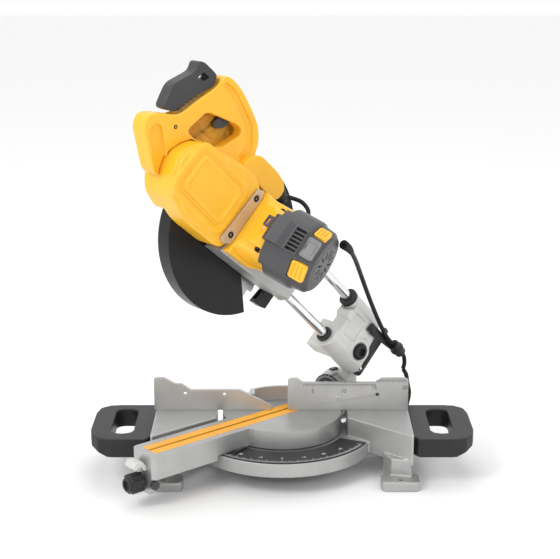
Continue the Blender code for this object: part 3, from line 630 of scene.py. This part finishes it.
def head_shell():
    body = prism(fillet(HOUSING, 22), 14, 57, 'X')
    body = join(body, prism(fillet(offset(HOUSING, -5), 22), 50, 61, 'X'))
    body = join(body, prism(rounded((-495, -374), (-38, 54), 18), 55, 64.4, 'X'))
    body = cut(body, prism(rounded((-486, -382), (-29, 45), 13), 62.6, 80, 'X'))
    body = join(body, prism(rounded((-480, -385), (-23, 39), 10), 60, 66.6, 'X'))
    body = cut(body, prism(rounded((-473, -391), (-15, 32), 6), 64.8, 80, 'X'))
    body = join(body, cut(prism(fillet(NOSE, 14), -12, 20, 'X'), well(-20, 13.9)))
    body = cut(body, prism([(-372, -60), (-340, -60), (-340, 80), (-366, 80)], 60, 80, 'X'))
    return piece(moulded(body, 1.1, 10), "head_shell", YELLOW, "saw_head", HEAD,
                 ["head_housing", "side_panel"])


def handle():
    body = prism(fillet(HANDLE, 16), 0, 31, 'X')
    body = cut(body, prism(fillet(GRIP_HOLE, 10), -9, 35, 'X'))
    body = cut(body, prism(offset(HOUSING, 0.35), -9, 35, 'X'))
    body = cut(body, prism(offset(TRIGGER, 2.2), 4, 22, 'X'))
    body = cut(body, prism([(y + 8, z - 1) for y, z in offset(LEVER, 0.6)], 1.2, 24.8, 'X'))
    body = cut(body, prism(fillet(ARCH_CHANNEL, 8), 26.5, 40, 'X'),
               prism(fillet(ARCH_CHANNEL, 8), -20, 4.5, 'X'))
    body = cut(body, prism(fillet(COLUMN_CHANNEL, 8), 25, 40, 'X'),
               prism(fillet(COLUMN_CHANNEL, 8), -20, 6, 'X'))
    body = cut(body, well(-20, 13.9))
    body = moulded(body, 1.1, 14)
    for side, keep in (("right", 1), ("left", -1)):
        half = body.copy()
        half.data = body.data.copy()
        bpy.context.scene.collection.objects.link(half)
        solid = bmesh.new()
        solid.from_mesh(half.data)
        seam = ((HANDLE_SEAM_X + keep * SEAM_GAP / 2) * MM, 0, 0)
        bmesh.ops.bisect_plane(solid, geom=solid.verts[:] + solid.edges[:] + solid.faces[:],
                               plane_co=seam, plane_no=(-keep, 0, 0), clear_outer=True)
        rim = [e for e in solid.edges if e.is_boundary]
        bmesh.ops.holes_fill(solid, edges=rim)
        solid.to_mesh(half.data)
        solid.free()
        piece(half, f"handle_shell_{side}", YELLOW, "saw_head", HEAD, [f"handle_{side}"])
    bpy.data.objects.remove(body, do_unlink=True)


def trigger():
    body = moulded(prism(fillet(TRIGGER, 5), 5, 21, 'X'), 0.8, 10)
    piece(body, "trigger_pad", GREY, "trigger_switch", HEAD, ["trigger"])


def release_lever():
    body = prism(fillet(LEVER, 9), 2, 24, 'X')
    for i in range(7):
        y, z = -537 + i * 2.6, 60 + i * 7.5
        body = cut(body, rod(1.6, 0, 26, (0, y, z), 'X', 10))
    body = cut(body, prism([(-538, 121), (-528, 126), (-522, 137), (-537, 135)], 0, 40, 'X'))
    piece(moulded(body, 0.8, 8), "release_paddle", GREY, "release", HEAD, ["release_lever"])


MOTOR_SCREWS = ((132, 46), (235, 46))


def at_angle(body, degrees):
    return moved(body, turn(degrees, 'Z'))


def motor_housing():
    body = turned([(0, 2), (50, 2), (51, 12), (48.5, 26), (48.5, 62), (0, 62)], steps=72)
    body.data.transform(MOTOR_IN_HEAD)
    flange = [(-350, -44), (-300, -38), (-262, -20), (-262, 50), (-300, 64), (-350, 66)]
    body = join(body, prism(flange, 56.35, 71, 'X'))
    body = cut(body, box((0, 56.35), (-420, -200), (-80, 100)))
    body = cut(body, box((0, 160), (-420, -349.65), (-80, 100)))
    for degrees, z in MOTOR_SCREWS:
        slot = rod(8, 14, 59, (51.5, 0, 0), 'Z', 24)
        body = cut(body, moved(slot, MOTOR_IN_HEAD @ turn(degrees, 'Z')))
    body = cut(body, moved(rod(44, 45, 75, steps=48), MOTOR_IN_HEAD))
    body = cut(body, moved(rod(9.5, -20, 60, steps=24), MOTOR_IN_HEAD))
    piece(moulded(body, 1.1, 5), "motor_shell", YELLOW, "saw_head", HEAD, ["motor_housing"])


CAP_INSETS = (("cap_inset_upper", 110, 132, 146, 12), ("cap_inset_lower", 104, 131, 228, 15))


def motor_cap():
    body = turned([(45, 62.5), (53, 62.5), (55, 66), (55.3, 104), (54.5, 108), (51.5, 112), (49.5, 128),
                   (43, 135), (30, 137), (0, 137), (0, 132), (34, 131), (44, 122)], steps=72)
    bump = prism([(46, 48), (57, 51), (61, 57), (61, 76), (57, 84), (46, 84)], -21, 21, 'Y')
    edge = ring(49, 54, 55, 66, steps=72)
    edge = combine(edge, 'INTERSECT', [at_angle(box((0, 80), (-44, 44), (50, 80)), 195)])
    body = join(body, edge, at_angle(bump, 184))
    loop = cut(box((50, 55), (-9, 9), (40, 54)), box((40, 70), (-5.5, 5.5), (43, 46.5)))
    body = join(body, at_angle(loop, 178))
    rim = cut(box((50, 57.2), (-21, 21), (85.5, 107)), box((55.2, 70), (-19, 19), (87.5, 105)))
    body = join(body, at_angle(rim, 184))
    for k in range(6):
        v = (k - 2.5) * 6.3
        body = cut(body, at_angle(box((48, 70), (v - 1.8, v + 1.8), (88, 104.5)), 184))
    for _, low, high, degrees, half in CAP_INSETS:
        body = cut(body, at_angle(box((46, 70), (-half, half), (low, high)), degrees))
    for k in range(12):
        body = cut(body, at_angle(box((12, 26), (-1.6, 1.6), (133.5, 140)), 30 * k))
    piece(moulded(body, 0.9, 3), "motor_cap", CAP_GREY, "saw_head", MOTOR, ["motor_end_cap"])
    for name, low, high, degrees, half in CAP_INSETS:
        low, high, half = low + 0.5, high - 0.5, half - 0.5
        inset = prism(rounded((-half, half), (low, high), 4), 45, 51.5, 'X')
        for k in range(3):
            z = low + (high - low) * (k + 1) / 4
            inset = cut(inset, box((49.6, 60), (-half + 3, half - 3), (z - 1.1, z + 1.1)))
        piece(at_angle(moulded(inset, 0.6, 3), degrees), name, YELLOW, "saw_head", MOTOR)
    plate = prism(rounded((-16, 16), (110, 131), 3), 46, 52, 'X')
    plate = cut(plate, prism(rounded((-14, 14), (112, 129), 2.4), 51.2, 60, 'X'))
    plate = join(plate, prism(rounded((-9, 9), (114, 127), 1.5), 50, 51.9, 'X'))
    piece(at_angle(moulded(plate, 0.5, 2), 184), "blank_badge", BADGE, "saw_head", MOTOR)


def screw(name, place_matrix, radius, rides, paint=None):
    """Socket-headed screw seen from +Z of its matrix."""
    head = turned([(0, -3), (radius, -3), (radius, 0.8), (radius - 0.8, 1.6), (0, 1.6)], steps=32)
    head = cut(head, rod(radius * 0.55, -1, 4, steps=6))
    return piece(bevelled(head, 0.2), name, paint or DARK_METAL, rides, place_matrix)


def facing_x(x, y, z, matrix=HEAD):
    """Frame at a head point whose +Z looks along +X."""
    return matrix @ Matrix.Translation(Vector((x, y, z)) * MM) @ turn(90, 'Y')


def head_details():
    outline = [(-372, -34), (-362, -38), (-350.4, -30), (-350.4, 56), (-356, 64), (-366, 60)]
    strip = prism(outline, 56.4, 66.5, 'X')
    strip = cut(strip, rod(5.6, 64.6, 70, (0, -359, 47), 'X'), rod(5.6, 64.6, 70, (0, -360, -21), 'X'))
    piece(moulded(strip, 0.8, 3), "flange_strip", TAN, "saw_head", HEAD)
    for k, (y, z) in enumerate(((-359, 47), (-360, -21))):
        screw(f"flange_screw_{k + 1}", facing_x(64.9, y, z), 4.4, "saw_head")
    for k, (degrees, z) in enumerate(MOTOR_SCREWS):
        lie = MOTOR @ turn(degrees, 'Z') @ Matrix.Translation(Vector((44.6, 0, z)) * MM) @ turn(90, 'Y')
        screw(f"motor_screw_{k + 1}", lie, 4.2, "saw_head")
    screw("handle_screw", facing_x(30.2, -525, 44), 3.2, "saw_head")
    outline = [(-398, 74), (-394, 96), (-380, 109), (-336, 111), (-314, 107), (-305, 98), (-305, 80),
               (-318, 73)]
    body = moulded(prism(fillet(outline, 10), 14.2, 42, 'X'), 1.0, 12)
    piece(body, "cable_box", YELLOW, "saw_head", HEAD, ["cable_tube"])
    gland = turned([(0, -304.6), (12, -304.6), (12.4, -301), (12, -297), (10, -296), (10, -293),
                    (8.5, -292), (8.5, -288), (6, -282), (0, -282)], (26, 0, 94), 'Y')
    piece(moulded(gland, 0.6, 2), "cable_gland_ring", BLACK, "saw_head", HEAD,
          ["cable_gland"])
    route = [head_point(*p) for p in ((28, -292, 96), (31, -276, 104), (40, -262, 108), (52, -252, 101),
                                      (60, -254, 86), (62, -262, 72))]
    piece(tube(smooth_route(route, 4), 3.4), "jumper_cable", RUBBER, "saw_head")
    flutes = [(math.radians(9 * i), 9.5 if i % 2 else 8.6) for i in range(40)]
    knob = prism([(34 + r * math.cos(t), -268 + r * math.sin(t)) for t, r in flutes], 66, 79, 'Z')
    knob = join(knob, rod(6, 60, 82, (34, -268, 0), 'Z', 32))
    piece(bevelled(knob, 0.3, 1), "spindle_button_cap", BLACK, "spindle_button", HEAD,
          ["spindle_lock"])


def carrier():
    low_z, high_z = RAIL_Z
    body = rod(20, -66, 22, (RAIL_X + 2, 0, low_z), 'Y', 48)
    body = join(body, rod(14.5, -63, 14, (RAIL_X, 0, high_z), 'Y', 48))
    body = join(body, prism(fillet([(-62, -13), (21, -13), (12, 56), (-58, 56)], 8), 29.4, 57, 'X'))
    body = join(body, rod(22, 28.9, 60, axis='X', steps=48))
    body = join(body, box((-8, 32), (-48, -22.5), (-34, 18)))
    cheek = [(-24, -30), (-24, 15)] + arc((0, 0), 19.5, 110, -110, 20)
    body = join(body, prism(cheek, -8, 3, 'X'))
    body = join(body, rod(9, 30, 58.5, (0, -58, 34), 'X', 32))
    body = cut(body, box((3.1, 28.8), (-22.3, 40), (-60, 70)))
    for z in RAIL_Z:
        body = cut(body, rod(9.6, -90, 40, (RAIL_X, 0, z), 'Y', 32))
    body = cut(body, rod(5.3, -20, 45, axis='X', steps=24))
    body = cut(body, prism(rounded((-52, -20), (4, 44), 6), 53.5, 80, 'X'))
    body = cut(body, rod(4.4, 14, 32, (0, -20, high_z), 'X', 16))
    body = cut(body, rod(15, 58, 80, axis='X', steps=40))
    piece(moulded(body, 1.1, 5), "slide_carrier", CARRIER, "rail_carrier", HEAD,
          ["carrier"])
    seals = gather(ring(8.6, 15.5, -70.5, -63.4, (RAIL_X, 0, high_z), 'Y'),
                   ring(8.6, 13, -70.5, -66.4, (RAIL_X, 0, low_z), 'Y'))
    piece(moulded(seals, 0.6, 2), "rail_wipers", BLACK, "rail_carrier", HEAD, ["rail_seal"])
    profile = [(0, 58), (13.5, 58), (13.5, 63), (11.5, 65), (7, 65), (7, 61), (0, 61)]
    socket = turned(profile, axis='X', steps=40)
    socket = cut(socket, rod(4.5, 59, 70, axis='X', steps=6))
    piece(bevelled(socket, 0.4), "pivot_bolt_socket", DARK_METAL, "rail_carrier", HEAD,
          ["pivot_bolt_head"])
    bracket = prism([(-14, 36), (0, 34), (62, 42), (62, 50), (8, 50), (-12, 50)], 58.5, 61.8, 'X')
    bracket = join(bracket, ring(3.95, 9.5, 50, 75.5, (66.5, 0, 49), 'Y'), rod(6, 58, 65, (0, -4, 43), 'X'))
    bracket = join(bracket, ring(9, 11.5, 60, 65, (66.5, 0, 49), 'Y'))
    bracket = cut(bracket, rod(3.95, 40, 90, (66.5, 0, 49), 'Y', 24))
    piece(moulded(bracket, 0.7, 3), "cord_bracket", BLACK, "rail_carrier", HEAD,
          ["cord_clamp"])


# ---------------------------------------------------------------- table, fence and base

def marks(rows, thick):
    """One mesh of thin raised marks; each row is a matrix with the mark's width, length and place."""
    made = []
    for matrix, width, length in rows:
        mark = box((-width / 2, width / 2), (0, length), (0, thick))
        made.append(moved(mark, matrix))
    return gather(*made)


def number(text, name, size, matrix, rides, paint):
    curve = bpy.data.curves.new(name, 'FONT')
    curve.body = text
    curve.size = size * MM
    curve.extrude = 0.05 * MM
    curve.align_x = 'CENTER'
    body = bpy.data.objects.new(name, curve)
    bpy.context.scene.collection.objects.link(body)
    graph = bpy.context.evaluated_depsgraph_get()
    graph.update()
    mesh = bpy.data.meshes.new_from_object(body.evaluated_get(graph))
    bpy.data.objects.remove(body, do_unlink=True)
    made = bpy.data.objects.new(name, mesh)
    bpy.context.scene.collection.objects.link(made)
    return piece(made, name, paint, rides, matrix)


def fence_scale():
    """Millimetre rule along the top front edge of the right fence."""
    upright = turn(90, 'X')
    rows = []
    for x in range(34, 204):
        top = 131.5 if 34 < x < 153 else 138.5
        length = 7 if x % 10 == 0 else 5 if x % 5 == 0 else 3
        rows.append((Matrix.Translation(Vector((x, -0.02, top - length)) * MM) @ upright, 0.35, length))
    piece(marks(rows, 0.1), "fence_rule", INK, "base")
    for x in (50, 100, 150, 200):
        where = Matrix.Translation(Vector((x, -0.08, 116 if x < 150 else 122)) * MM) @ upright
        number(str(x // 10), f"fence_number_{x // 10}", 9, where, "base", INK)


def mitre_marks():
    """Degree marks on the rim scale, longer every five and ten degrees, with plain numbers."""
    rows = []
    for degrees in range(-60, 61):
        length = 9 if degrees % 10 == 0 else 7 if degrees % 5 == 0 else 4.5
        spin = turn(degrees, 'Z')
        rows.append((spin @ Matrix.Translation(Vector((0, -147, 55.8)) * MM), 0.55, length))
    piece(marks(rows, 0.12), "mitre_marks", WHITE, "base")
    for degrees in (-45, -30, -15, 0, 15, 30, 45):
        spin = turn(degrees, 'Z') @ Matrix.Translation(Vector((0, -132, 55.85)) * MM)
        name = f"mitre_number_{degrees + 45}"
        number(str(abs(degrees)), name, 7, spin, "base", WHITE)


def bevel_marks():
    rows = []
    for degrees in range(-65, 66, 5):
        length = 5 if degrees % 15 == 0 else 3.2
        spin = Matrix.Translation((0, 0, TABLE_Z * MM)) @ turn(degrees, 'Y')
        lie = Matrix.Translation(Vector((0, 101.9, 32)) * MM) @ turn(90, 'X')
        rows.append((spin @ lie, 0.7, length))
    piece(marks(rows, 0.12), "bevel_marks", WHITE, "table", MITRE)


def arm_details():
    flutes = [(math.radians(6 * i), 16 if i % 10 < 6 else 13.8) for i in range(60)]
    knob = prism([(r * math.cos(t), 40 + r * math.sin(t)) for t, r in flutes], -302, -281, 'Y')
    knob = join(knob, turned([(0, -307), (11, -307), (13, -301), (0, -301)], (0, 0, 40), 'Y', 40))
    knob = cut(knob, rod(4.35, -290, -270, (0, 0, 40), 'Y', 24), rod(8, -312, -303, (0, 0, 40), 'Y', 6))
    piece(moulded(knob, 0.7, 3), "mitre_grip_knob", BLACK, "mitre_lock", MITRE,
          ["mitre_knob"])
    profile = [(-277.5, 60), (-277.5, 68), (-284, 76), (-296, 77), (-301, 70), (-298, 64), (-293, 67),
               (-286, 68), (-283, 62)]
    piece(moulded(prism(profile, -12, 12, 'X'), 0.8, 4), "detent_tab", CARRIER, "detent",
          MITRE, ["detent_lever"])
    pointer = prism([(-4, -104), (4, -104), (1.2, -134), (-1.2, -134)], 56.6, 58.2)
    piece(bevelled(pointer, 0.3), "mitre_pointer", BLACK, "table", MITRE @ turn(16, 'Z'))


FOOT_X = 186
FOOT_Y = (-121, 62)


def fence_details():
    screw("fence_screw", Matrix.Translation(Vector((91, -0.6, 107)) * MM) @ turn(90, 'X'), 3.6, "base", STEEL)
    feet = [(x, y) for x in (-FOOT_X, FOOT_X) for y in FOOT_Y]
    for k, (x, y) in enumerate(feet):
        where = Matrix.Translation(Vector((x, y, 14.4)) * MM)
        washer = bevelled(ring(4.7, 8, 0, 1.8), 0.3)
        piece(washer, f"foot_washer_{k + 1}", STEEL, "base", where)


# ---------------------------------------------------------------- CAD nodes that stay

def dress_nodes():
    dress("base_casting", CASTING, voxel=1.5, passes=3)
    dress("fence_casting", FENCE, 0.8)
    dress("left_fence", FENCE, 0.8)
    dress("turntable", TABLE, 1.0)
    for side in ("left", "right"):
        dress(f"kerf_plate_{side}", KERF, 0.4)
        dress(f"side_handle_{side}", BLACK, voxel=1.6, passes=8)
    dress("gear_case", CASTING, voxel=1.3, passes=4)
    dress("bevel_arm", CARRIER, voxel=1.2, passes=4)
    dress("upper_blade_guard", GUARD, 0.5)
    dress("lower_blade_guard", GUARD, 0.5)
    dress("dust_chute", BLACK, voxel=0.9, passes=4)
    dress("rail_lock_knob", BLACK, 0.5)
    dress("bevel_lock_lever", GREY, voxel=0.9, passes=5)
    dress("bevel_pointer", GREY, 0.3)
    dress("transport_pin", BLACK, 0.4)
    dress("arm_end_cap", BLACK, 0.5)
    dress("rail_end_plate", BLACK, 0.8)
    dress("mitre_scale", SCALE, 0.2)
    dress("bevel_scale", SCALE, 0.2)
    for name in ("lower_rail", "upper_rail"):
        dress(name, CHROME, 0.6)
    for name in ("stator", "armature"):
        dress(name, COPPER, 0.3)
    for name in ("lower_rail_bush", "upper_rail_bush"):
        dress(name, BRONZE, 0.2)
    dress("blade", BLADE, 0.15)
    for name in ("turntable_pivot_bolt", "mitre_lock_rod", "bevel_pivot_pin", "chop_pivot_shaft",
                 "head_return_spring", "drive_gear", "arbor_shaft", "outer_flange", "blade_bolt"):
        dress(name, STEEL, 0.4)


stage()
cords()
head_shell()
handle()
trigger()
release_lever()
motor_housing()
motor_cap()
head_details()
carrier()
fence_scale()
mitre_marks()
bevel_marks()
arm_details()
fence_details()
dress_nodes()
